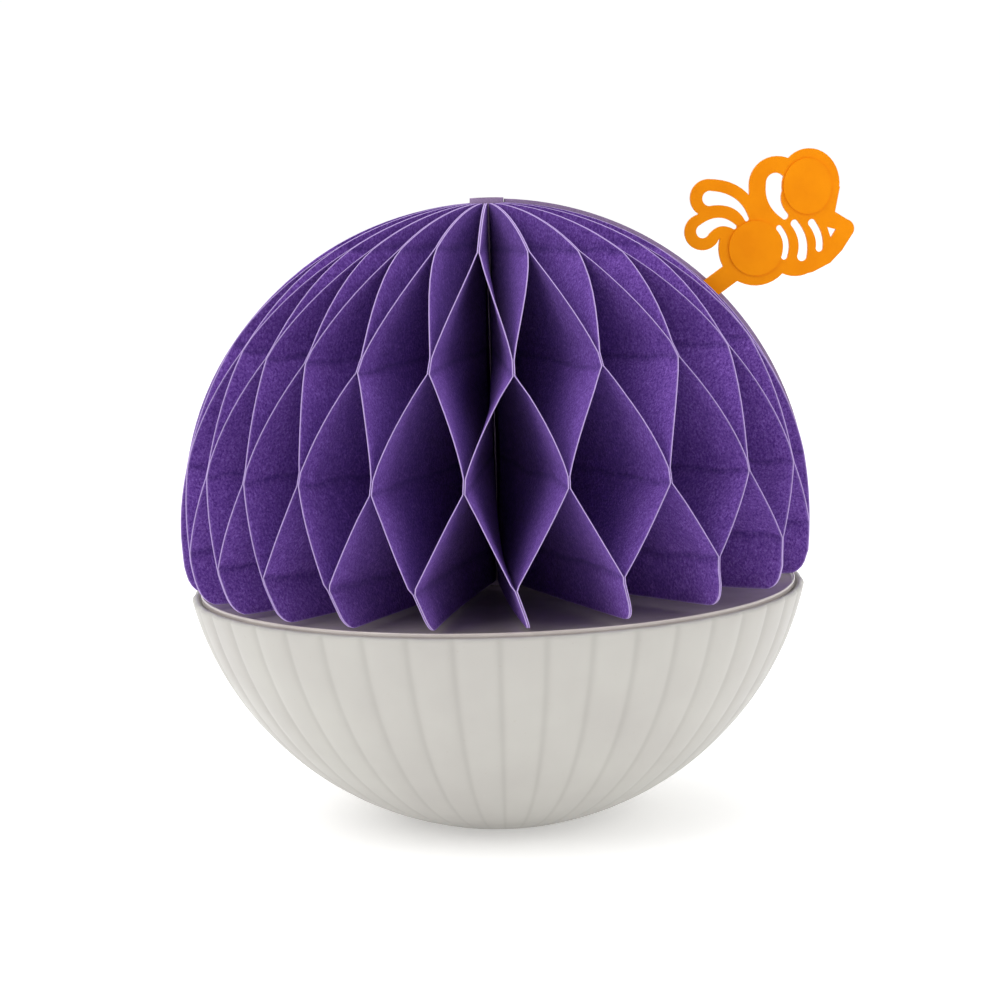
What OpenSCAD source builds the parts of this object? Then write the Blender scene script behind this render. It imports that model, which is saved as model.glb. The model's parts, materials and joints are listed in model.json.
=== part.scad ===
// Paper honeycomb ball on a tray in a lobed bowl, with a bee-shaped pick.
// The origin is the middle of the bowl's foot, +Z up, millimetres. Azimuth 0
// faces the front (-Y) and grows towards +X.

/* [Ball] */
// Radius of the opened paper ball
ball_radius = 75; // [70:0.5:80]
// Height of the ball's centre over the surface that the bowl stands on
ball_centre_height = 71.6; // [71:0.1:72.4]
// Number of paper leaves, a multiple of four
leaf_count = 44; // [36:4:48]
// Thickness of one paper leaf
paper_thickness = 0.4; // [0.3:0.01:0.5]
// Gap left between two leaves that are glued together
glue_gap = 0.07; // [0.04:0.01:0.1]
// Heights over the ball's centre where the glued strips start, bottom row first
glue_rows = [-5, 15.5, 42, 66];
// Height of a glued strip in the middle rows
strip_height = 3; // [2:0.1:5]
// Level of the leaves' lower edge below the ball's centre
leaf_bottom_drop = 15; // [14:0.1:18]
// Radius of a leaf's lower outer corner
corner_radius = 4.5; // [2:0.1:6]
// How far the lower corners lean round the ball, in degrees
bottom_lean = 2.8; // [0:0.1:3]
// How unevenly the cells are opened round the ball, in degrees
cell_stretch = 5.4; // [0:0.1:6]
// Azimuth at which the cells are opened widest
widest_azimuth = 38.7; // [0:0.1:90]

/* [Seam] */
// Azimuth of the seam, before the uneven opening of the cells
seam_azimuth = 90.5; // [80:0.1:100]
// Thickness of a cover board
cover_thickness = 1.0; // [0.8:0.05:1.1]
// Gap between the two cover boards
cover_gap = 0.4; // [0.3:0.05:0.5]
// How far the cover boards stand out beyond the leaves
cover_proud = 0.8; // [0.5:0.1:1.5]
// Width of the strip that closes the covers on each other
strip_width = 12; // [8:0.5:16]
// Length of that strip
strip_length = 40; // [20:1:42]

/* [Spine] */
// Outer diameter of the paper spine tube
spine_diameter = 8; // [7.6:0.1:8]
// Wall of the spine tube
spine_wall = 0.8; // [0.6:0.1:1.5]
// How far the spine tube stands out above the leaves
spine_proud = 1; // [0.5:0.1:2]

/* [Bowl] */
// Radius of the bowl's round outside
bowl_radius = 75.2; // [75:0.1:80]
// Height of the bowl's rim
rim_height = 55.6; // [55:0.1:56.4]
// Radius of the bowl's foot
foot_radius = 18; // [14:0.5:18.5]
// Wall of the bowl
bowl_wall = 4.2; // [3.8:0.1:5]
// Number of lobes round the bowl
lobe_count = 44; // [36:1:48]
// Depth of the creases between the lobes at the rim
crease_depth = 0.5; // [0.2:0.05:0.6]

/* [Tray] */
// Outer radius of the tray's lip
tray_radius = 70.9; // [70.5:0.1:71]
// Thickness of the tray's floor
tray_thickness = 1; // [0.8:0.1:1.2]
// Height of the lip over the tray's floor
lip_height = 0.7; // [0.5:0.1:0.9]

/* [Bee pick] */
// Thickness of the pick's plate
pick_thickness = 1; // [0.8:0.1:1]
// Height of the raised discs on the plate
disc_relief = 0.4; // [0.2:0.1:0.6]
// Width of the stem
stem_width = 4.8; // [4:0.1:5]
// Slope of the stem above the horizontal
stem_slope = 34.4; // [30:0.1:38]
// Length of the stem inside the ball
stem_reach = 6; // [5:0.5:6]

/* [Hidden] */
$fn = 96;
leaf_bottom = -leaf_bottom_drop;
leaf_inner = spine_diameter / 2 + 0.25;
leaf_pitch = 360 / leaf_count;
half_pair = (paper_thickness + glue_gap) / 2;
cover_outer = ball_radius + cover_proud;
cover_face = cover_gap / 2 + cover_thickness;
fit_gap = 0.1;
strip_inset = 2;
// the seam takes this half angle at the spine, and the leaves share the rest
seam_offset = cover_face + fit_gap - glue_gap / 2;
seam_half_inner = asin(seam_offset / leaf_inner);
inner_pitch = (360 - 2 * seam_half_inner) / leaf_count;

// tray and bowl levels over the foot
tray_floor = ball_centre_height + leaf_bottom - 0.3 - lip_height;
tray_under = tray_floor - tray_thickness;
ledge_height = tray_under - 0.1;
recess_radius = tray_radius + 0.3;
bowl_centre_height = ball_centre_height + 1.1;
foot_round = 1.2;
flank_start = 1.4;
rim_round = 0.8;
lobe_steps = 4;
spine_bottom = tray_floor + 0.2 - ball_centre_height;

paper = "#5c3aa0";
board = "#97829f";
glaze = "#d2d0ca";
clear_plastic = "#cfcbd0";
orange = "#f49b10";

function leaf_name(i) = str("leaf_", i < 10 ? "0" : "", i);
LEAVES = [for (i = [1:leaf_count]) leaf_name(i)];

// ---- directions round the ball ----
// azimuth that a cell opened evenly at angle t really has
function opened(t) = t + cell_stretch * sin(2 * (t - widest_azimuth));
seam = opened(seam_azimuth);
function along(a) = [sin(a), -cos(a), 0];
function across(a) = [cos(a), sin(a), 0];

// Fold plane j lies between leaf j and leaf j + 1. It is flat, it starts at the
// spine at an even pitch, and it points outwards at its own azimuth.
function plane_azimuth(j) = opened(seam_azimuth - j * leaf_pitch);
function plane_foot(j) = leaf_inner * along(seam - seam_half_inner - j * inner_pitch);
function lean(j, z) = bottom_lean * sin(180 * j / leaf_count)
    * max(0, (glue_rows[0] - z) / (glue_rows[0] - leaf_bottom));
function plane_point(j, side, reach, z) =
    let (a = plane_azimuth(j) + lean(j, z) * min(1, reach / ball_radius))
    plane_foot(j) + (reach - leaf_inner) * along(a) + side * across(a) + [0, 0, z];

// ---- one leaf ----
// reach of a leaf's outer edge at height z over the ball's centre
function sphere_reach(z) = sqrt(ball_radius * ball_radius - z * z);
corner_centre = leaf_bottom + corner_radius;
corner_reach = sphere_reach(corner_centre) - corner_radius;
function outer_reach(z) = z >= corner_centre
    ? max(leaf_inner + 0.3, sphere_reach(z))
    : corner_reach + sqrt(max(0, pow(corner_radius, 2) - pow(corner_centre - z, 2)));

// Where the leaf lies between its two fold planes at height z: 0 on the plane
// of the odd rows, 1 on the plane of the even rows, straight in between.
function zigzag(z) =
    z <= glue_rows[0] ? 1
    : z <= glue_rows[1] ? 1 - (z - glue_rows[0]) / (glue_rows[1] - glue_rows[0])
    : z <= glue_rows[1] + strip_height ? 0
    : z <= glue_rows[2] ? (z - glue_rows[1] - strip_height) / (glue_rows[2] - glue_rows[1] - strip_height)
    : z <= glue_rows[2] + strip_height ? 1
    : z <= glue_rows[3] ? 1 - (z - glue_rows[2] - strip_height) / (glue_rows[3] - glue_rows[2] - strip_height)
    : 0;

top_angle = acos((leaf_inner + 0.3) / ball_radius);
// levels: round the lower corner, the folds, evenly between them, and over the top
function between(a, b, n) = [for (i = [1:n]) a + (b - a) * i / n];
levels = concat(
    [for (i = [0:3]) corner_centre - corner_radius * cos(90 * i / 4)],
    [corner_centre, glue_rows[0]],
    between(glue_rows[0], glue_rows[1], 3),
    between(glue_rows[1], glue_rows[1] + strip_height, 1),
    between(glue_rows[1] + strip_height, glue_rows[2], 3),
    between(glue_rows[2], glue_rows[2] + strip_height, 1),
    between(glue_rows[2] + strip_height, glue_rows[3], 4),
    [for (i = [1:4]) ball_radius * sin(asin(glue_rows[3] / ball_radius)
        + (top_angle - asin(glue_rows[3] / ball_radius)) * i / 4)]
);

// Leaf i lies between planes i - 1 and i. face is -1 for the side towards
// plane i and +1 for the side towards plane i - 1.
function leaf_point(i, face, reach, z) =
    let (
        odd = i % 2 == 1 ? i : i - 1,
        even = i % 2 == 1 ? i - 1 : i,
        odd_side = odd == i ? half_pair : -half_pair,
        even_side = even == i ? half_pair : -half_pair,
        skin = face * paper_thickness / 2,
        share = zigzag(z)
    )
    (1 - share) * plane_point(odd, odd_side + skin, reach, z)
        + share * plane_point(even, even_side + skin, reach, z);

function ring(i, z) = [
    leaf_point(i, -1, leaf_inner, z), leaf_point(i, -1, outer_reach(z), z),
    leaf_point(i, 1, outer_reach(z), z), leaf_point(i, 1, leaf_inner, z)
];

module leaf(i) {
    count = len(levels);
    points = [for (z = levels) each ring(i, z)];
    // both skins are split from the outer edge up to the inner edge, so they stay parallel
    sides = [for (n = [0:4:4 * count - 8]) each [
        [n, n + 4, n + 1], [n + 1, n + 4, n + 5], [n + 1, n + 5, n + 2], [n + 2, n + 5, n + 6],
        [n + 2, n + 7, n + 3], [n + 2, n + 6, n + 7], [n + 3, n + 7, n], [n, n + 7, n + 4]
    ]];
    ends = [[0, 1, 2, 3], [for (k = [3:-1:0]) 4 * (count - 1) + k]];
    color(paper) translate([0, 0, ball_centre_height])
        polyhedron(points = points, faces = concat(sides, ends), convexity = 8);
}

// ---- flat pieces in the seam ----
// Lays a shape drawn as reach and height onto the seam, its lower face at the
// given distance in front of the middle of the seam.
module on_seam(distance, thickness) {
    translate([0, 0, ball_centre_height]) rotate([0, 0, seam]) rotate([90, 0, -90])
        translate([0, 0, distance]) linear_extrude(thickness) children();
}

module cover_outline() {
    corner = leaf_bottom + corner_radius;
    reach = sqrt(cover_outer * cover_outer - corner * corner) - corner_radius;
    intersection() {
        circle(cover_outer, $fn = 240);
        union() {
            translate([leaf_inner, corner]) square([cover_outer, 2 * cover_outer]);
            translate([leaf_inner, leaf_bottom]) square([reach - leaf_inner, corner_radius + 1]);
            translate([reach, corner]) circle(corner_radius);
        }
    }
}

module cover_front() {
    color(board) on_seam(cover_gap / 2, cover_thickness) cover_outline();
}

module cover_back() {
    color(board) on_seam(-cover_gap / 2 - cover_thickness, cover_thickness) cover_outline();
}

module closure_strip() {
    color("#e8e4ea") on_seam(-cover_gap / 2 + 0.1, cover_gap - 0.1)
        intersection() {
            circle(ball_radius - strip_inset, $fn = 240);
            translate([ball_radius - strip_inset - strip_width, leaf_bottom + corner_radius])
                square([strip_width, strip_length]);
        }
}

module spine_tube() {
    height = ball_radius + spine_proud - spine_bottom;
    color(board) translate([0, 0, ball_centre_height + spine_bottom]) difference() {
        cylinder(d = spine_diameter, h = height);
        translate([0, 0, -1]) cylinder(d = spine_diameter - 2 * spine_wall, h = height + 2);
    }
}

// ---- bowl ----
function bowl_reach(z) = sqrt(bowl_radius * bowl_radius - pow(z - bowl_centre_height, 2));
function bowl_angle(z) = asin((bowl_centre_height - z) / bowl_radius);
rim_start = rim_height - rim_round;
// radii and heights of the outside: the foot's edge, the round flank, the rounded rim
bowl_profile = concat(
    [[foot_radius, 0], [foot_radius + foot_round, foot_round / 8]],
    [for (i = [0:12]) let (a = bowl_angle(flank_start) + (bowl_angle(rim_start) - bowl_angle(flank_start)) * i / 12)
        [bowl_radius * cos(a), bowl_centre_height - bowl_radius * sin(a)]],
    [for (i = [1:3]) [bowl_reach(rim_start) - rim_round * (1 - cos(30 * i)), rim_start + rim_round * sin(30 * i)]]
);

// the outside is a ring of shallow lobes, with a crease between each two that runs
// from the foot up over the rim
module lobed_outside() {
    columns = lobe_count * lobe_steps;
    rows = len(bowl_profile);
    points = [for (p = bowl_profile) for (c = [0:columns - 1])
        let (
            share = 2 * (c % lobe_steps) / lobe_steps - 1,
            reach = p[0] - crease_depth * p[0] / bowl_radius * share * share
        ) reach * along(360 * c / columns) + [0, 0, p[1]]];
    faces = [for (n = [0:rows - 2]) for (c = [0:columns - 1]) let (d = (c + 1) % columns, low = n * columns) each [
        [low + c, low + columns + c, low + d], [low + d, low + columns + c, low + columns + d]
    ]];
    foot = [for (c = [0:columns - 1]) c];
    rim = [for (c = [columns - 1:-1:0]) (rows - 1) * columns + c];
    polyhedron(points = points, faces = concat(faces, [foot, rim]), convexity = 4);
}

module bowl_inside() {
    rotate_extrude($fn = 240) {
        intersection() {
            translate([0, bowl_centre_height]) circle(bowl_radius - bowl_wall, $fn = 240);
            translate([0, bowl_wall]) square([bowl_radius, ledge_height - bowl_wall + 0.5]);
        }
        translate([0, ledge_height]) square([recess_radius, rim_height]);
    }
}

module bowl() {
    color(glaze) difference() {
        lobed_outside();
        bowl_inside();
    }
}

// ---- tray ----
module tray() {
    lip = 0.6;
    color(clear_plastic) translate([0, 0, tray_under]) rotate_extrude($fn = 240) {
        square([tray_radius, tray_thickness]);
        translate([tray_radius - lip, 0]) square([lip, tray_thickness + lip_height - lip / 2]);
        translate([tray_radius - lip / 2, tray_thickness + lip_height - lip / 2]) circle(lip / 2, $fn = 32);
    }
}

// ---- bee pick, drawn as reach and height over the ball's centre ----
body_disc = [63.7, 62.1];
tail_disc = [73.3, 62.4];
wing_disc = [76.4, 76.4];
nose = [85.3, 66];
stem_entry = [53.6, 53.6];
stem_dir = [cos(stem_slope), sin(stem_slope)];
trim = 0.03;

// where a curve from a over b to c is at t, which runs from 0 to 1
function bend(a, b, c, t) =
    (1 - t) * (1 - t) * a + 2 * t * (1 - t) * (2 * b - (a + c) / 2) + t * t * c;

// a round plate, or an oval one, with straight facets all round
module disc(p, rx, ry = 0) {
    steps = 40;
    height = ry == 0 ? rx : ry;
    polygon([for (i = [0:steps - 1]) p + [rx * cos(360 * i / steps), height * sin(360 * i / steps)]]);
}

// a curved ribbon from a over b to c, its half width going from r1 to r2, with round ends
module ribbon(a, b, c, r1, r2) {
    steps = 10;
    mid = [for (i = [0:steps]) bend(a, b, c, i / steps)];
    side = [for (i = [0:steps]) let (d = mid[min(i + 1, steps)] - mid[max(i - 1, 0)])
        (r1 + (r2 - r1) * i / steps - trim) * [-d[1], d[0]] / norm(d)];
    polygon(concat([for (i = [0:steps]) mid[i] + side[i]], [for (i = [steps:-1:0]) mid[i] - side[i]]));
    disc(a, r1);
    disc(c, r2);
}

module stem() {
    half = stem_width / 2;
    side = half * [-stem_dir[1], stem_dir[0]];
    root = stem_entry + 6 * stem_dir;
    shoulder = stem_entry - (stem_reach - 4.5) * stem_dir;
    tip = stem_entry - stem_reach * stem_dir;
    polygon([root + side, shoulder + side, tip + 0.3 * side, tip - 0.3 * side, shoulder - side, root - side]);
}

module bee_outline() {
    stem();
    disc(body_disc, 8.9);
    disc(tail_disc, 7.3);
    disc(nose, 2.3);
    polygon([[73.3, 55.1], [77.4, 55.95], [81.7, 58], [84.6, 60.9], [87.1, 64.6], [85.9, 68.25], [83, 70.1], [72, 72]]);
    // wing with the disc
    disc([76.9, 77], 7.3, 8.3);
    polygon([[84.3, 76], [83, 70], [72, 66], [70, 78]]);
    // wing with the long opening
    disc([69.2, 76.9], 6.8);
    polygon([[62.4, 77], [62.4, 73], [60, 68], [68, 64], [76, 70]]);
    // two small wings
    ribbon([52.7, 74.3], [58.5, 73], [62, 68], 4.5, 3.4);
    ribbon([51, 66.3], [55.3, 68.2], [59.5, 66.5], 4.3, 2.4);
}

module bee_holes() {
    ribbon([52.9, 74.2], [58.4, 73], [61.7, 69.1], 1.8, 0.6);
    ribbon([51.1, 66.5], [54.9, 68.5], [58.7, 67.3], 1.65, 0.6);
    difference() {
        ribbon([68.8, 77.4], [68.5, 73.2], [70.9, 69.5], 2.35, 0.9);
        disc(wing_disc, 6.1, 6.9);
    }
    ribbon([69.5, 66.6], [71, 63.4], [70.6, 59.9], 0.75, 0.8);
    ribbon([73.2, 67.6], [75, 63.9], [74.9, 59.8], 0.95, 1.2);
    ribbon([77.4, 67.6], [78.9, 64.6], [79.1, 61.6], 0.95, 0.9);
    polygon([[81.1, 66.5], [83.2, 65.9], [81.9, 63.9]]);
}

module bee_pick() {
    face = cover_face + 0.1;
    color(orange) {
        on_seam(face, pick_thickness) difference() {
            bee_outline();
            bee_holes();
        }
        on_seam(face + pick_thickness - 0.2, disc_relief + 0.2) {
            disc(body_disc, 6.5);
            disc(wing_disc, 5.8, 6.6);
        }
    }
}

bowl();
tray();
spine_tube();
cover_front();
cover_back();
closure_strip();
bee_pick();
for (i = [1:leaf_count]) leaf(i);
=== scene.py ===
"""Paper honeycomb ball on a tray in a lobed bowl: the visual model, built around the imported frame.

Azimuth 0 faces the front (-Y) and grows towards +X, as in the frame. Lengths in the making of a
piece are millimetres, and MM turns them into the scene's metres.
"""
import json
import math

import bpy
import numpy as np
from mathutils import Matrix, Vector, noise


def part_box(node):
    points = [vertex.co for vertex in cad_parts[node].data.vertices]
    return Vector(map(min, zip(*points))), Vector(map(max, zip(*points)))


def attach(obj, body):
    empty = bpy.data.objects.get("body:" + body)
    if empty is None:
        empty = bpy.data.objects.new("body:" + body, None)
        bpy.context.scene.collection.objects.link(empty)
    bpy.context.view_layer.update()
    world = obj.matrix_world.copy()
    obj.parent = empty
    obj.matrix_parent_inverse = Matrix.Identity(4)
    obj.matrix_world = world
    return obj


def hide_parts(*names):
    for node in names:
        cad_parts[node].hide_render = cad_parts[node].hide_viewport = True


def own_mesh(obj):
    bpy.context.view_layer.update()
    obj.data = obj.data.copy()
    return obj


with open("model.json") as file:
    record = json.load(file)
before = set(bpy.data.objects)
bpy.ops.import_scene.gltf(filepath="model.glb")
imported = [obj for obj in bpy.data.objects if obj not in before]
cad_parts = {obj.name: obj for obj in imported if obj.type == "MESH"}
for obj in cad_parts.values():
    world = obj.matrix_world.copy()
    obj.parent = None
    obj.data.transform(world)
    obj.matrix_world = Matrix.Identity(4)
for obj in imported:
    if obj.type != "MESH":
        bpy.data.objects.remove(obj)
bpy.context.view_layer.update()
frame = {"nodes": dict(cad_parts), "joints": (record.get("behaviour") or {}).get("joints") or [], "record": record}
MM = 0.001

# ---- the ball's sizes, measured on the frame ----
fan = next(j for j in frame["joints"] if j["name"] == "fan_fold")
CENTRE_Z = fan["pos_m"][2] / MM
LEAF_COUNT = sum(name.startswith("leaf_") for name in frame["nodes"])


def node_points(name):
    """A node's vertices in millimetres, its height counted from the ball's centre."""
    mesh = frame["nodes"][name].data
    co = np.zeros(len(mesh.vertices) * 3)
    mesh.vertices.foreach_get("co", co)
    return co.reshape(-1, 3) / MM - [0, 0, CENTRE_Z]


leaf_points = node_points("leaf_22")
RADIUS = float(np.linalg.norm(leaf_points, axis=1).max())
LEAF_BOTTOM = float(leaf_points[:, 2].min())
SPINE_GAP = 0.25
LEAF_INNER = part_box("spine_tube")[1][0] / MM + SPINE_GAP
LEAST_WIDTH = 0.3

# ---- how the leaves are folded, as in the frame ----
# paper's thickness, and half the distance between two glued leaves' middles
PAPER = 0.3
HALF_PAIR = 0.2
# heights of the glued rows over the ball's centre, a glued strip's height, and the lower corner
GLUE_ROWS = [-5.0, 15.5, 42.0, 66.0]
STRIP = 3.0
CORNER = 4.5
# degrees that the lower edges lean, and that the fold planes turn from their top to their bottom
LEAN = 4.2
SKEW = 2.0
SKEW_MIDDLE, SKEW_HALF = 32, 36
# the cells are widest at azimuth WIDEST, by STRETCH degrees
STRETCH = 5.4
WIDEST = 38.7
# the seam between the two covers
SEAM_EVEN = 90.5
SEAM_OFFSET = 1.265
SEAM_HALF_INNER = math.degrees(math.asin(SEAM_OFFSET / LEAF_INNER))
PITCH = 360 / LEAF_COUNT
INNER_PITCH = (360 - 2 * SEAM_HALF_INNER) / LEAF_COUNT


def opened(t):
    """Azimuth of a fold plane that would stand at t if all cells were equal."""
    return t + STRETCH * math.sin(math.radians(2 * (t - WIDEST)))


SEAM = opened(SEAM_EVEN)


def along(a):
    """Unit vector outwards at azimuth a."""
    a = np.radians(a)
    return np.stack([np.sin(a), -np.cos(a)], axis=-1)


def across(a):
    """Unit vector towards growing azimuth at azimuth a."""
    a = np.radians(a)
    return np.stack([np.cos(a), np.sin(a)], axis=-1)


def plane_azimuth(j):
    return opened(SEAM_EVEN - j * PITCH)


def plane_foot(j):
    """Where fold plane j meets the spine."""
    return LEAF_INNER * along(SEAM - SEAM_HALF_INNER - j * INNER_PITCH)


def plane_points(j, side, reach, z):
    """Points of fold plane j, moved sideways by side: arrays of the same shape."""
    from_seam = math.sin(math.pi * j / LEAF_COUNT)
    droop = np.clip((GLUE_ROWS[0] - z) / (GLUE_ROWS[0] - LEAF_BOTTOM), 0, 1)
    lean = LEAN * from_seam * droop * np.minimum(1, reach / RADIUS)
    skew = SKEW * from_seam * (np.maximum(z, GLUE_ROWS[0]) - SKEW_MIDDLE) / SKEW_HALF
    a = plane_azimuth(j) + lean + skew
    foot = plane_foot(j)
    return foot + (reach - LEAF_INNER)[..., None] * along(a) + side[..., None] * across(a)


CORNER_Z = LEAF_BOTTOM + CORNER
CORNER_REACH = math.sqrt(RADIUS**2 - CORNER_Z**2) - CORNER


def outer_reach(z):
    """How far out the leaf's edge is at height z: on the ball, and round its lower corner."""
    ball = np.sqrt(np.maximum(0, RADIUS**2 - z**2))
    corner = CORNER_REACH + np.sqrt(np.maximum(0, CORNER**2 - (CORNER_Z - z) ** 2))
    return np.maximum(LEAF_INNER + LEAST_WIDTH, np.where(z >= CORNER_Z, ball, corner))


# (height, share): on which of its two planes the sheet lies, 0 for the odd and 1 for the even rows
FOLDS = [
    (GLUE_ROWS[0], 1), (GLUE_ROWS[1], 0), (GLUE_ROWS[1] + STRIP, 0), (GLUE_ROWS[2], 1),
    (GLUE_ROWS[2] + STRIP, 1), (GLUE_ROWS[3], 0),
]


def sag(row, a):
    """How far a fold row hangs over or under its level at azimuth a: the rows sag in front."""
    a = math.radians(a)
    side = abs(math.sin(a)) ** 2
    if row == 0:
        return 5.6 * math.sin(a + 0.26) ** 2 - 1.3
    if row == 1:
        return 0.3 - 1.6 * side * max(0, math.sin(a))
    if row == 2:
        return 3.0 * side - 1.8 - 0.6 * math.sin(a)
    return -0.9 - 0.8 * math.sin(a)


def lift(a):
    """How far the leaves' lower edges stand off the tray at azimuth a."""
    return 0.3 + 1.3 * max(0, math.sin(math.radians(a)))


def zigzag(z):
    """0 on the plane of the odd rows, 1 on the plane of the even rows."""
    share = np.interp(z, [f[0] for f in FOLDS], [f[1] for f in FOLDS])
    # the sheet leaves the upper end of a glued strip smoothly, and meets the next row at a crease
    for low, high in ((GLUE_ROWS[1] + STRIP, GLUE_ROWS[2]), (GLUE_ROWS[2] + STRIP, GLUE_ROWS[3])):
        t = np.clip((z - low) / (high - low), 0, 1)
        eased = 0.55 * t + 0.45 * t**2
        share = np.where((z > low) & (z < high), eased if low < GLUE_ROWS[2] else 1 - eased, share)
    return share


def wave(seed, x, step):
    """Smooth noise between -1 and 1 along x, which changes over about step millimetres."""
    flat = np.ravel(x)
    values = [noise.noise(Vector((v / step, seed * 7.31, 0.5))) for v in flat]
    return 2 * np.reshape(values, np.shape(x))


def spread(a, b, n, ends=0.0):
    """n points after a and up to b; ends above 0 gathers them towards both ends."""
    t = np.arange(1, n + 1) / n
    t = t - ends * np.sin(2 * math.pi * t) / (2 * math.pi)
    return list(a + (b - a) * t)


def leaf_levels():
    """Heights of a leaf's rows of points: close together at its corner and on its folds."""
    top = math.sqrt(RADIUS**2 - (LEAF_INNER + LEAST_WIDTH) ** 2)
    corner_step = 15
    levels = [CORNER_Z - CORNER * math.cos(math.radians(corner_step * i)) for i in range(7)]
    levels += spread(CORNER_Z, GLUE_ROWS[0], 4)
    levels += spread(GLUE_ROWS[0], GLUE_ROWS[1], 9, 0.5)
    levels += spread(GLUE_ROWS[1], GLUE_ROWS[1] + STRIP, 3)
    levels += spread(GLUE_ROWS[1] + STRIP, GLUE_ROWS[2], 10, 0.5)
    levels += spread(GLUE_ROWS[2], GLUE_ROWS[2] + STRIP, 3)
    levels += spread(GLUE_ROWS[2] + STRIP, GLUE_ROWS[3], 9, 0.5)
    start = math.asin(GLUE_ROWS[3] / RADIUS)
    stop = math.asin(top / RADIUS)
    steps = 10
    levels += [RADIUS * math.sin(start + (stop - start) * i / steps) for i in range(1, steps + 1)]
    return np.array(levels)


LEVELS = leaf_levels()
COLUMNS = 26
# shares of the way from the spine to the edge, closer together near the edge
U = 1 - (1 - np.linspace(0, 1, COLUMNS)) ** 1.8
FLAT_Z = np.repeat(LEVELS[:, None], COLUMNS, axis=1)


def reach_to(outer):
    return U[None, :] * (outer - LEAF_INNER) + LEAF_INNER


def leaf_heights(odd, even):
    """Heights of a leaf's points. A fold line wanders a little; both leaves of a pair share it."""
    z0 = FLAT_Z
    near = reach_to(outer_reach(z0))
    z = z0.copy()
    for row, start in enumerate(GLUE_ROWS):
        plane = even if row % 2 == 0 else odd
        knots = [LEAF_BOTTOM] + GLUE_ROWS + [LEVELS[-1]]
        weight = np.interp(z0, knots, [float(k == start) for k in knots])
        if row in (1, 2):
            weight = np.where((z0 > start) & (z0 < start + STRIP), 1, weight)
        z += sag(row, plane_azimuth(plane)) * weight
        shift = 0.35 * wave(plane * 4 + row, near, 5) + 0.5 * wave(plane * 9 + row + 50, near, 23)
        z += shift * np.clip(1 - np.abs(z0 - start) / 6, 0, 1)
        if row in (1, 2):
            shift = 0.4 * wave(plane * 5 + row + 90, near, 9)
            z += shift * np.clip(1 - np.abs(z0 - start - STRIP) / 3, 0, 1)
    z += lift(plane_azimuth(even)) * np.interp(z0, [LEAF_BOTTOM, GLUE_ROWS[0]], [1, 0])
    return np.clip(z, LEAF_BOTTOM, LEVELS[-1])


def leaf_mesh(i):
    """Leaf i as one closed sheet: rings of points from its lower edge to its top."""
    odd, even = (i, i - 1) if i % 2 else (i - 1, i)
    odd_side = HALF_PAIR if odd == i else -HALF_PAIR
    even_side = HALF_PAIR if even == i else -HALF_PAIR
    z0 = FLAT_Z
    z = leaf_heights(odd, even)
    outer = outer_reach(np.where(z0 < CORNER_Z, z0, z))
    reach = reach_to(outer)
    share = zigzag(z0)

    def skin(offset, out=0.0):
        ones = np.ones_like(reach)
        a = plane_points(odd, (odd_side + offset) * ones, reach + out, z)
        b = plane_points(even, (even_side + offset) * ones, reach + out, z)
        xy = (1 - share)[..., None] * a + share[..., None] * b
        # between its glued strips the sheet is not quite flat
        buckle = 4 * share * (1 - share) * np.sin(math.pi * U)[None, :]
        bend = 0.7 * wave(i * 3 + 200, z + 0 * reach, 14) * wave(i * 5 + 300, reach, 30)
        xy = xy + (buckle * bend)[..., None] * across(plane_azimuth(i - 0.5))
        return np.concatenate([xy, z[..., None]], axis=-1)

    # the cut edge is rounded: thinner in its last column, with one more point beyond it
    half = np.full(COLUMNS, PAPER / 2)
    half[-1] *= 0.72
    left, right = skin(-half[None, :]), skin(half[None, :])
    edge = skin(0.0, 0.1)[:, -1:]
    ring = np.concatenate([left, edge, right[:, ::-1]], axis=1)
    count, width = ring.shape[:2]
    points = ring.reshape(-1, 3) + [0, 0, CENTRE_Z]

    faces, slots = [], []
    for n in range(count - 1):
        for k in range(width):
            a, b = n * width + k, n * width + (k + 1) % width
            faces.append((a, a + width, b + width, b))
            slots.append(1 if COLUMNS - 1 <= k <= COLUMNS else 0)
    for n, turn in ((0, 1), (count - 1, -1)):
        for k in range(COLUMNS - 1):
            quad = [n * width + v for v in (k, k + 1, width - 2 - k, width - 1 - k)]
            faces.append(tuple(quad[::turn]))
            slots.append(1)
        tip = [n * width + v for v in (COLUMNS - 1, COLUMNS, COLUMNS + 1)]
        faces.append(tuple(tip[::turn]))
        slots.append(1)

    name = f"paper_leaf_{i:02d}"
    mesh = bpy.data.meshes.new(name)
    mesh.from_pydata((points * MM).tolist(), [], faces)
    mesh.polygons.foreach_set("material_index", slots)
    mesh.polygons.foreach_set("use_smooth", [True] * len(faces))

    # rim is 1 at the cut edge and fold is 1 on a fold line; both fade out over some tenths of a mm
    rim_fade, fold_fade = 0.35, 0.9
    # rim masks the lighter cut edge: partly the paper's own paler cut, partly painted highlight
    margin = np.minimum(outer - reach, z0 - LEAF_BOTTOM)
    rim = np.clip(1 - margin / rim_fade, 0, 1)
    # fold masks the painted shade along each fold crease
    fold = np.zeros_like(z)
    for start in GLUE_ROWS:
        fold = np.maximum(fold, np.clip(1 - np.abs(z0 - start) / fold_fade, 0, 1))
    for label, grid, at_edge in (("rim", rim, 1.0), ("fold", fold, 0.0)):
        values = np.concatenate([grid, np.full((count, 1), at_edge), grid[:, ::-1]], axis=1)
        mesh.attributes.new(label, "FLOAT", "POINT").data.foreach_set("value", values.ravel())
    mesh.validate()
    ob = bpy.data.objects.new(name, mesh)
    bpy.context.collection.objects.link(ob)
    return ob


# ---- materials ----
LOBES = 44


def linear(r, g, b):
    """A display colour from 0 to 255 as linear light."""
    shares = [c / 255 for c in (r, g, b)]
    light = [c / 12.92 if c <= 0.04045 else ((c + 0.055) / 1.055) ** 2.4 for c in shares]
    return tuple(light) + (1,)


def grey(v):
    return (v, v, v, 1)


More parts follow.
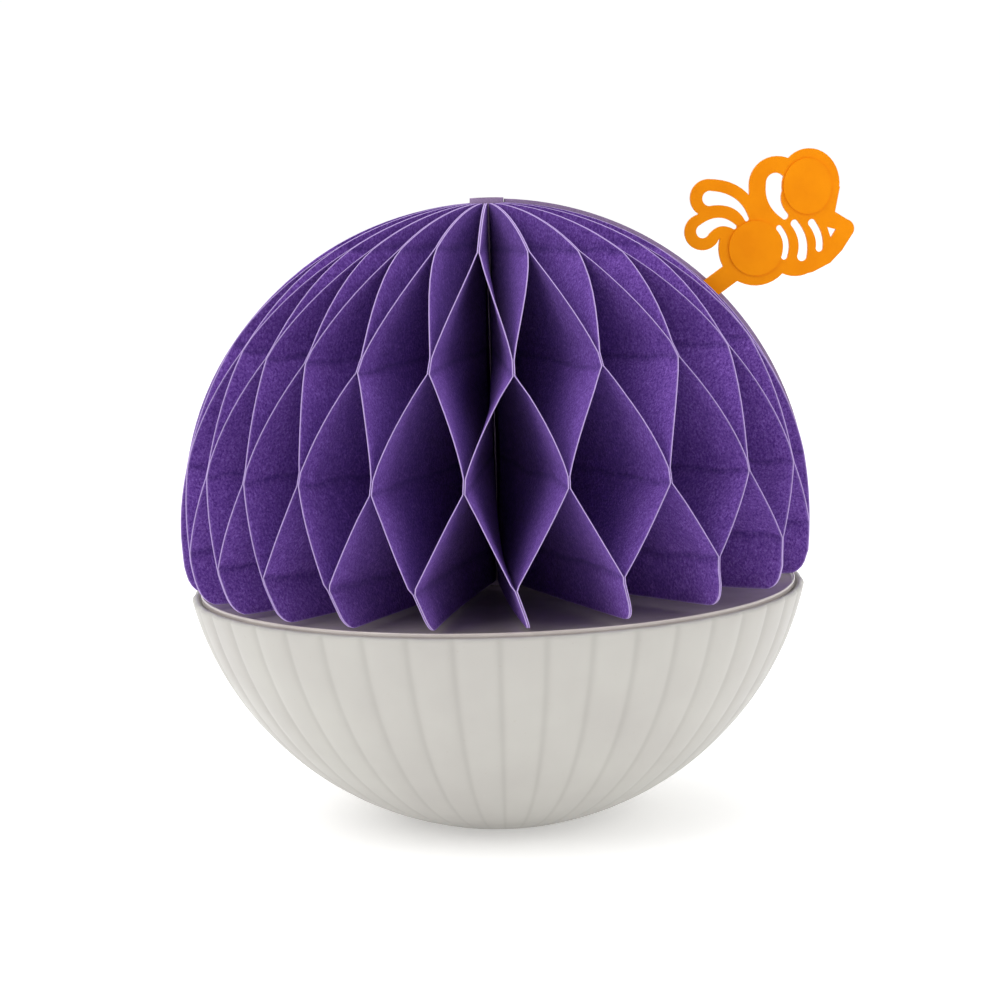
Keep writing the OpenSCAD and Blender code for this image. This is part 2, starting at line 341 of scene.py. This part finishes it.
class Nodes:
    """Short calls for building one material's nodes."""

    def __init__(self, name):
        self.material = bpy.data.materials.new(name)
        self.material.use_nodes = True
        self.tree = self.material.node_tree
        self.shader = self.tree.nodes["Principled BSDF"]
        coords = self.tree.nodes.new("ShaderNodeTexCoord")
        scale = self.tree.nodes.new("ShaderNodeMapping")
        scale.inputs["Scale"].default_value = (1000, 1000, 1000)
        self.tree.links.new(coords.outputs["Object"], scale.inputs["Vector"])
        self.mm = scale.outputs["Vector"]

    def set(self, **values):
        for key, value in values.items():
            self.shader.inputs[key.replace("_", " ")].default_value = value

    def link(self, a, b):
        self.tree.links.new(a, b)

    def noise(self, size, detail=4, stretch=(1, 1, 1), rough=0.55):
        """Noise whose lumps are about size millimetres."""
        node = self.tree.nodes.new("ShaderNodeTexNoise")
        node.inputs["Scale"].default_value = 1 / size
        node.inputs["Detail"].default_value = detail
        node.inputs["Roughness"].default_value = rough
        source = self.mm
        if stretch != (1, 1, 1):
            mapping = self.tree.nodes.new("ShaderNodeMapping")
            mapping.inputs["Scale"].default_value = stretch
            self.link(self.mm, mapping.inputs["Vector"])
            source = mapping.outputs["Vector"]
        self.link(source, node.inputs["Vector"])
        return node.outputs["Fac"]

    def ramp(self, value, stops):
        """stops are (place, colour) pairs."""
        node = self.tree.nodes.new("ShaderNodeValToRGB")
        while len(node.color_ramp.elements) < len(stops):
            node.color_ramp.elements.new(0.5)
        for element, (place, colour) in zip(node.color_ramp.elements, stops):
            element.position = place
            element.color = colour
        self.link(value, node.inputs["Fac"])
        return node.outputs["Color"]

    def mix(self, factor, a, b):
        node = self.tree.nodes.new("ShaderNodeMix")
        node.data_type = "RGBA"
        for key, value in (("Factor", factor), ("A", a), ("B", b)):
            socket = node.inputs[key]
            if isinstance(value, (int, float, tuple)):
                socket.default_value = value
            else:
                self.link(value, socket)
        return node.outputs["Result"]

    def math(self, operation, a, b=0.0):
        node = self.tree.nodes.new("ShaderNodeMath")
        node.operation = operation
        for socket, value in zip(node.inputs, (a, b)):
            if isinstance(value, (int, float)):
                socket.default_value = value
            else:
                self.link(value, socket)
        return node.outputs["Value"]

    def attribute(self, name):
        node = self.tree.nodes.new("ShaderNodeAttribute")
        node.attribute_name = name
        return node.outputs["Fac"]

    def bump(self, height, distance_mm, strength=1.0):
        node = self.tree.nodes.new("ShaderNodeBump")
        node.inputs["Strength"].default_value = strength
        node.inputs["Distance"].default_value = distance_mm * MM
        self.link(height, node.inputs["Height"])
        self.link(node.outputs["Normal"], self.shader.inputs["Normal"])


PAPER_DARK = linear(80, 44, 128)
PAPER_MID = linear(114, 73, 165)
PAPER_LIGHT = linear(150, 110, 202)
# the cut edge's colours: partly the paper's own paler cut, partly painted highlight
EDGE_DARK = linear(200, 178, 226)
EDGE_LIGHT = linear(246, 236, 252)
# painted shade for the fold creases
CREASE_SHADE = linear(52, 26, 100)


def paper_material():
    n = Nodes("violet_felted_paper")
    fibres = n.noise(0.5, 5, (1, 1, 0.75), 0.75)
    blotches = n.noise(3.2, 3)
    body = n.ramp(fibres, [(0.36, PAPER_DARK), (0.5, PAPER_MID), (0.66, PAPER_LIGHT)])
    body = n.mix(n.ramp(blotches, [(0.35, grey(0)), (0.7, grey(0.35))]), body, PAPER_DARK)
    # painted shade: a patchy dark line along each fold crease
    patchy = n.ramp(n.noise(1.3, 3), [(0.3, grey(0.15)), (0.7, grey(0.7))])
    crease = n.math("MULTIPLY", n.attribute("fold"), patchy)
    body = n.mix(crease, body, CREASE_SHADE)
    # lighter towards the cut edge: partly the paper's own paler cut, partly painted highlight
    rim = n.math("POWER", n.attribute("rim"), 2.2)
    body = n.mix(n.math("MULTIPLY", rim, 0.8), body, EDGE_DARK)
    n.link(body, n.shader.inputs["Base Color"])
    n.set(Roughness=0.95, Specular_IOR_Level=0.2, Sheen_Weight=0.22, Sheen_Roughness=0.5)
    n.shader.inputs["Sheen Tint"].default_value = linear(190, 160, 235)
    height = n.math("ADD", n.math("MULTIPLY", fibres, 0.6), n.math("MULTIPLY", n.noise(0.22, 3), 0.4))
    n.bump(height, 0.3, 1.0)
    return n.material


def edge_material():
    n = Nodes("pale_highlit_paper_edge")
    # the cut edge's pale colour is partly its own, partly painted highlight
    body = n.ramp(n.noise(0.5, 4, rough=0.7), [(0.3, EDGE_DARK), (0.65, EDGE_LIGHT)])
    n.link(body, n.shader.inputs["Base Color"])
    n.set(Roughness=0.95, Specular_IOR_Level=0.2, Sheen_Weight=0.4)
    n.bump(n.noise(0.25, 3), 0.12, 0.8)
    return n.material


def board_material():
    n = Nodes("grey_lavender_board")
    grain = n.noise(0.35, 4, rough=0.65)
    body = n.ramp(grain, [(0.3, linear(138, 116, 150)), (0.7, linear(170, 148, 180))])
    blotches = n.ramp(n.noise(6, 2), [(0.4, grey(0)), (0.7, grey(0.5))])
    body = n.mix(blotches, body, linear(146, 122, 160))
    n.link(body, n.shader.inputs["Base Color"])
    n.set(Roughness=0.85, Specular_IOR_Level=0.3)
    n.bump(grain, 0.06, 0.6)
    return n.material


def glaze_material():
    n = Nodes("off_white_glaze")
    clouds = n.noise(26, 3)
    body = n.ramp(clouds, [(0.35, linear(180, 177, 172)), (0.7, linear(186, 184, 178))])
    specks = n.ramp(n.noise(0.9, 2, rough=0.4), [(0.24, grey(1)), (0.27, grey(0))])
    body = n.mix(n.math("MULTIPLY", specks, 0.25), body, linear(170, 160, 148))
    # painted shade: the glaze is darkened along the creases between the lobes
    split = n.tree.nodes.new("ShaderNodeSeparateXYZ")
    n.link(n.mm, split.inputs["Vector"])
    turn = n.math("ARCTAN2", split.outputs["X"], split.outputs["Y"])
    crease = n.math("ABSOLUTE", n.math("COSINE", n.math("MULTIPLY", turn, LOBES / 2)))
    lobe_crease_shade = n.math("MULTIPLY", n.math("POWER", crease, 26), 0.16)
    body = n.mix(lobe_crease_shade, body, linear(120, 116, 110))
    n.link(body, n.shader.inputs["Base Color"])
    n.link(n.ramp(n.noise(9, 2), [(0.3, grey(0.36)), (0.7, grey(0.44))]), n.shader.inputs["Roughness"])
    n.set(Specular_IOR_Level=0.22, Coat_Weight=0.08, Coat_Roughness=0.2)
    n.bump(n.noise(7, 2), 0.05, 0.25)
    return n.material


def tray_material():
    n = Nodes("milky_gloss_plastic")
    body = n.ramp(n.noise(14, 3), [(0.35, linear(196, 186, 180)), (0.7, linear(208, 199, 192))])
    n.link(body, n.shader.inputs["Base Color"])
    n.link(n.ramp(n.noise(4, 3), [(0.3, grey(0.12)), (0.7, grey(0.2))]), n.shader.inputs["Roughness"])
    n.set(Specular_IOR_Level=0.6, Coat_Weight=0.4, Coat_Roughness=0.08)
    n.bump(n.noise(3, 2), 0.02, 0.3)
    return n.material


def orange_material():
    n = Nodes("moulded_orange_plastic")
    body = n.ramp(n.noise(9, 3), [(0.35, linear(232, 134, 0)), (0.7, linear(240, 144, 2))])
    n.link(body, n.shader.inputs["Base Color"])
    n.link(n.ramp(n.noise(1.2, 3), [(0.3, grey(0.34)), (0.7, grey(0.46))]), n.shader.inputs["Roughness"])
    n.set(Specular_IOR_Level=0.08)
    n.bump(n.noise(0.5, 3), 0.02, 0.35)
    return n.material


def tape_material():
    n = Nodes("white_adhesive_tape")
    body = n.ramp(n.noise(1.5, 3), [(0.3, linear(206, 202, 208)), (0.7, linear(228, 226, 230))])
    n.link(body, n.shader.inputs["Base Color"])
    n.set(Roughness=0.6)
    n.bump(n.noise(0.8, 2), 0.03, 0.4)
    return n.material


# ---- turned pieces ----
def turned(name, profile, columns, dent=None):
    """A closed piece turned round the Z axis.

    profile runs from the axis under the piece, round its outside and back to the axis, as (radius,
    height) in millimetres. dent(n, c) says how far point n moves inwards in column c.
    """
    rings = [p for p in profile if p[0] > 1e-6]
    points = []
    for n, (r, z) in enumerate(rings):
        for c in range(columns):
            a = 2 * math.pi * c / columns
            q = r - (dent(n, c) if dent else 0)
            points.append((q * math.sin(a) * MM, -q * math.cos(a) * MM, z * MM))
    low, high = len(points), len(points) + 1
    points += [(0, 0, profile[0][1] * MM), (0, 0, profile[-1][1] * MM)]
    faces = []
    for n in range(len(rings) - 1):
        for c in range(columns):
            a, b = n * columns + c, n * columns + (c + 1) % columns
            faces.append((a, b, b + columns, a + columns))
    last = (len(rings) - 1) * columns
    for c in range(columns):
        d = (c + 1) % columns
        faces.append((low, d, c))
        faces.append((high, last + c, last + d))
    mesh = bpy.data.meshes.new(name)
    mesh.from_pydata(points, [], faces)
    mesh.polygons.foreach_set("use_smooth", [True] * len(faces))
    ob = bpy.data.objects.new(name, mesh)
    bpy.context.collection.objects.link(ob)
    return ob


def arc(centre, radius, start, stop, n):
    """n + 1 points of an arc; angles in degrees, 0 outwards and 90 up."""
    angles = [math.radians(start + (stop - start) * i / n) for i in range(n + 1)]
    return [(centre[0] + radius * math.cos(a), centre[1] + radius * math.sin(a)) for a in angles]


BOWL_RADIUS, BOWL_WALL = 75.2, 4.2
BOWL_CENTRE = CENTRE_Z + 1.1
RIM_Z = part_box("bowl")[1][2] / MM
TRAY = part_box("tray")
TRAY_RADIUS = TRAY[1][0] / MM
TRAY_UNDER, TRAY_TOP = TRAY[0][2] / MM, TRAY[1][2] / MM
LEDGE = TRAY_UNDER - 0.1
LOBE_STEPS, LOBE_DEPTH = 10, 0.6


def bowl():
    """The outside is 44 shallow lobes with a crease between each two, from the foot to the rim."""
    rim_out = math.sqrt(BOWL_RADIUS**2 - (RIM_Z - BOWL_CENTRE) ** 2)
    rim_in = TRAY_RADIUS + 0.3
    crown = (rim_out - rim_in) / 2
    low = math.degrees(math.asin((0.8 - BOWL_CENTRE) / BOWL_RADIUS))
    high = math.degrees(math.asin((RIM_Z - crown - BOWL_CENTRE) / BOWL_RADIUS))
    shell = arc((0, BOWL_CENTRE), BOWL_RADIUS, low, high, 40)
    foot = [(shell[0][0] - 4, 0), (shell[0][0] - 2.2, 0.12)]
    crest = arc(((shell[-1][0] + rim_in) / 2, RIM_Z - crown), (shell[-1][0] - rim_in) / 2, 15, 180, 9)
    inner = BOWL_RADIUS - BOWL_WALL
    ledge_in = math.sqrt(inner**2 - (LEDGE - BOWL_CENTRE) ** 2)
    down = math.degrees(math.asin((LEDGE - BOWL_CENTRE) / inner))
    floor_angle = math.degrees(math.asin((BOWL_WALL - BOWL_CENTRE) / inner))
    inside = [(rim_in, LEDGE + 0.4), (rim_in - 0.15, LEDGE + 0.08)]
    inside += [(rim_in - 0.5, LEDGE), (ledge_in + 0.4, LEDGE)]
    inside += arc((0, BOWL_CENTRE), inner, down - 0.4, floor_angle + 0.8, 24)
    inside += [(inner * math.cos(math.radians(floor_angle)) - 1.2, BOWL_WALL)]
    profile = [(0, 0), (foot[0][0] * 0.6, 0)] + foot + shell + crest + inside + [(0, BOWL_WALL)]
    last = 1 + len(foot) + len(shell)

    def dent(n, c):
        near_foot = min(1, max(0, (n - 1) / 3))
        near_rim = min(1, max(0, (last + 6 - n) / 6))
        share = abs(2 * (c % LOBE_STEPS) / LOBE_STEPS - 1)
        radius = profile[n + 1][0]
        return LOBE_DEPTH * near_foot * near_rim * (radius / BOWL_RADIUS) ** 1.2 * share**3

    ob = turned("lobed_bowl", profile, LOBES * LOBE_STEPS, dent)
    paint(ob, glaze)
    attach(ob, "bowl")
    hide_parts("bowl")


def tray():
    """A flat plate with a thin raised lip."""
    lip = 0.6
    top = TRAY_TOP - lip / 2
    floor_z = TRAY_UNDER + 1.0
    profile = [(0, TRAY_UNDER), (TRAY_RADIUS - 1.5, TRAY_UNDER)]
    profile += arc((TRAY_RADIUS - 0.5, TRAY_UNDER + 0.5), 0.5, -90, 0, 4)
    profile += arc((TRAY_RADIUS - lip / 2, top), lip / 2, 0, 180, 8)
    profile += arc((TRAY_RADIUS - lip - 0.35, floor_z + 0.35), 0.35, 0, -90, 4)
    profile += [(TRAY_RADIUS - 4, floor_z)]
    profile += [(TRAY_RADIUS * share, floor_z) for share in (0.6, 0.3, 0)]
    ob = turned("tray_with_lip", profile, 256)
    paint(ob, milky)
    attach(ob, "tray")
    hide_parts("tray")


def paint(ob, *materials):
    ob.data.materials.clear()
    for m in materials:
        ob.data.materials.append(m)


paper, paper_edge = paper_material(), edge_material()
board, glaze, milky = board_material(), glaze_material(), tray_material()
orange, tape = orange_material(), tape_material()

# ---- paper leaves ----
bodies = frame["record"]["behaviour"]["bodies"]
bodies_of = {node: body for body, nodes in bodies.items() for node in nodes}
PIVOT = (0, 0, CENTRE_Z * MM)
for i in range(1, LEAF_COUNT + 1):
    leaf = leaf_mesh(i)
    paint(leaf, paper, paper_edge)
    node = f"leaf_{i:02d}"
    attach(leaf, bodies_of[node])
    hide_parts(node)
    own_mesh(leaf)


# ---- pieces that keep their frame shape ----
def dress(node, material, bevel_mm, segments=3):
    """Gives a frame node its material and softly rounded edges."""
    ob = frame["nodes"][node]
    paint(ob, material)
    ob.data.polygons.foreach_set("use_smooth", [True] * len(ob.data.polygons))
    rounding = ob.modifiers.new("rounding", "BEVEL")
    rounding.width = bevel_mm * MM
    rounding.segments = segments
    rounding.limit_method = "ANGLE"
    rounding.angle_limit = math.radians(35)
    rounding.harden_normals = True


dress("cover_front", board, 0.15)
dress("cover_back", board, 0.15)
dress("spine_tube", board, 0.15)
dress("closure_strip", tape, 0.05, 2)
dress("bee_pick", orange, 0.22)
bowl()
tray()


# ---- floor, light and camera ----
def floor():
    mesh = bpy.data.meshes.new("floor")
    far = 3.0
    corners = [(-far, -far, 0), (far, -far, 0), (far, far, 0), (-far, far, 0)]
    mesh.from_pydata(corners, [], [(0, 1, 2, 3)])
    ob = bpy.data.objects.new("floor", mesh)
    bpy.context.collection.objects.link(ob)
    n = Nodes("white_floor")
    body = n.ramp(n.noise(300, 2), [(0.3, grey(0.94)), (0.7, grey(0.96))])
    n.link(body, n.shader.inputs["Base Color"])
    n.set(Roughness=0.8, Emission_Strength=0.3)
    n.shader.inputs["Emission Color"].default_value = grey(1)
    paint(ob, n.material)


def lamp(name, place, size, watts, aim):
    data = bpy.data.lights.new(name, "AREA")
    data.shape = "RECTANGLE"
    data.size, data.size_y = size
    data.energy = watts
    ob = bpy.data.objects.new(name, data)
    ob.location = place
    ob.rotation_euler = (Vector(aim) - Vector(place)).to_track_quat("-Z", "Y").to_euler()
    bpy.context.collection.objects.link(ob)


def camera():
    """Stands in front and a little above, as the object is seen in the photograph."""
    distance, elevation, roll = 0.700, math.radians(8), math.radians(1.7)
    lens = 105.4
    # the photograph's middle is a little to the right of the ball's centre and above it
    aim_right, aim_up = 0.00108, 0.00407
    data = bpy.data.cameras.new("camera")
    data.lens = lens
    data.clip_start = 0.05
    ob = bpy.data.objects.new("camera", data)
    forward = Vector((0, math.cos(elevation), -math.sin(elevation)))
    up = Vector((0, math.sin(elevation), math.cos(elevation)))
    right = Vector((1, 0, 0))
    centre = Vector(PIVOT)
    target = centre + right * aim_right + up * aim_up
    place = centre - forward * distance
    look = (target - place).normalized()
    base = look.to_track_quat("-Z", "Y").to_matrix().to_4x4()
    ob.matrix_world = Matrix.Translation(place) @ base @ Matrix.Rotation(-roll, 4, "Z")
    bpy.context.collection.objects.link(ob)
    bpy.context.scene.camera = ob


def studio():
    """A white sweep behind the object, and a dimmer room on the camera's side."""
    world = bpy.data.worlds.new("studio")
    world.use_nodes = True
    tree = world.node_tree
    coords = tree.nodes.new("ShaderNodeTexCoord")
    split = tree.nodes.new("ShaderNodeSeparateXYZ")
    level = tree.nodes.new("ShaderNodeMapRange")
    tree.nodes["Background"].inputs["Color"].default_value = (1, 1, 1, 1)
    tree.links.new(coords.outputs["Generated"], split.inputs["Vector"])
    tree.links.new(split.outputs["Y"], level.inputs["Value"])
    for key, value in (("From Min", -0.9), ("From Max", 0.4), ("To Min", 0.45), ("To Max", 1.02)):
        level.inputs[key].default_value = value
    tree.links.new(level.outputs["Result"], tree.nodes["Background"].inputs["Strength"])
    bpy.context.scene.world = world


floor()
studio()
bpy.context.scene.view_settings.view_transform = "Standard"
lamp("key", (-0.6, -0.55, 0.75), (0.7, 0.7), 4, PIVOT)
lamp("fill", (0.8, -0.5, 0.5), (0.6, 0.6), 1.8, PIVOT)
lamp("top", (0.0, 0.1, 1.0), (0.8, 0.8), 3, PIVOT)
camera()
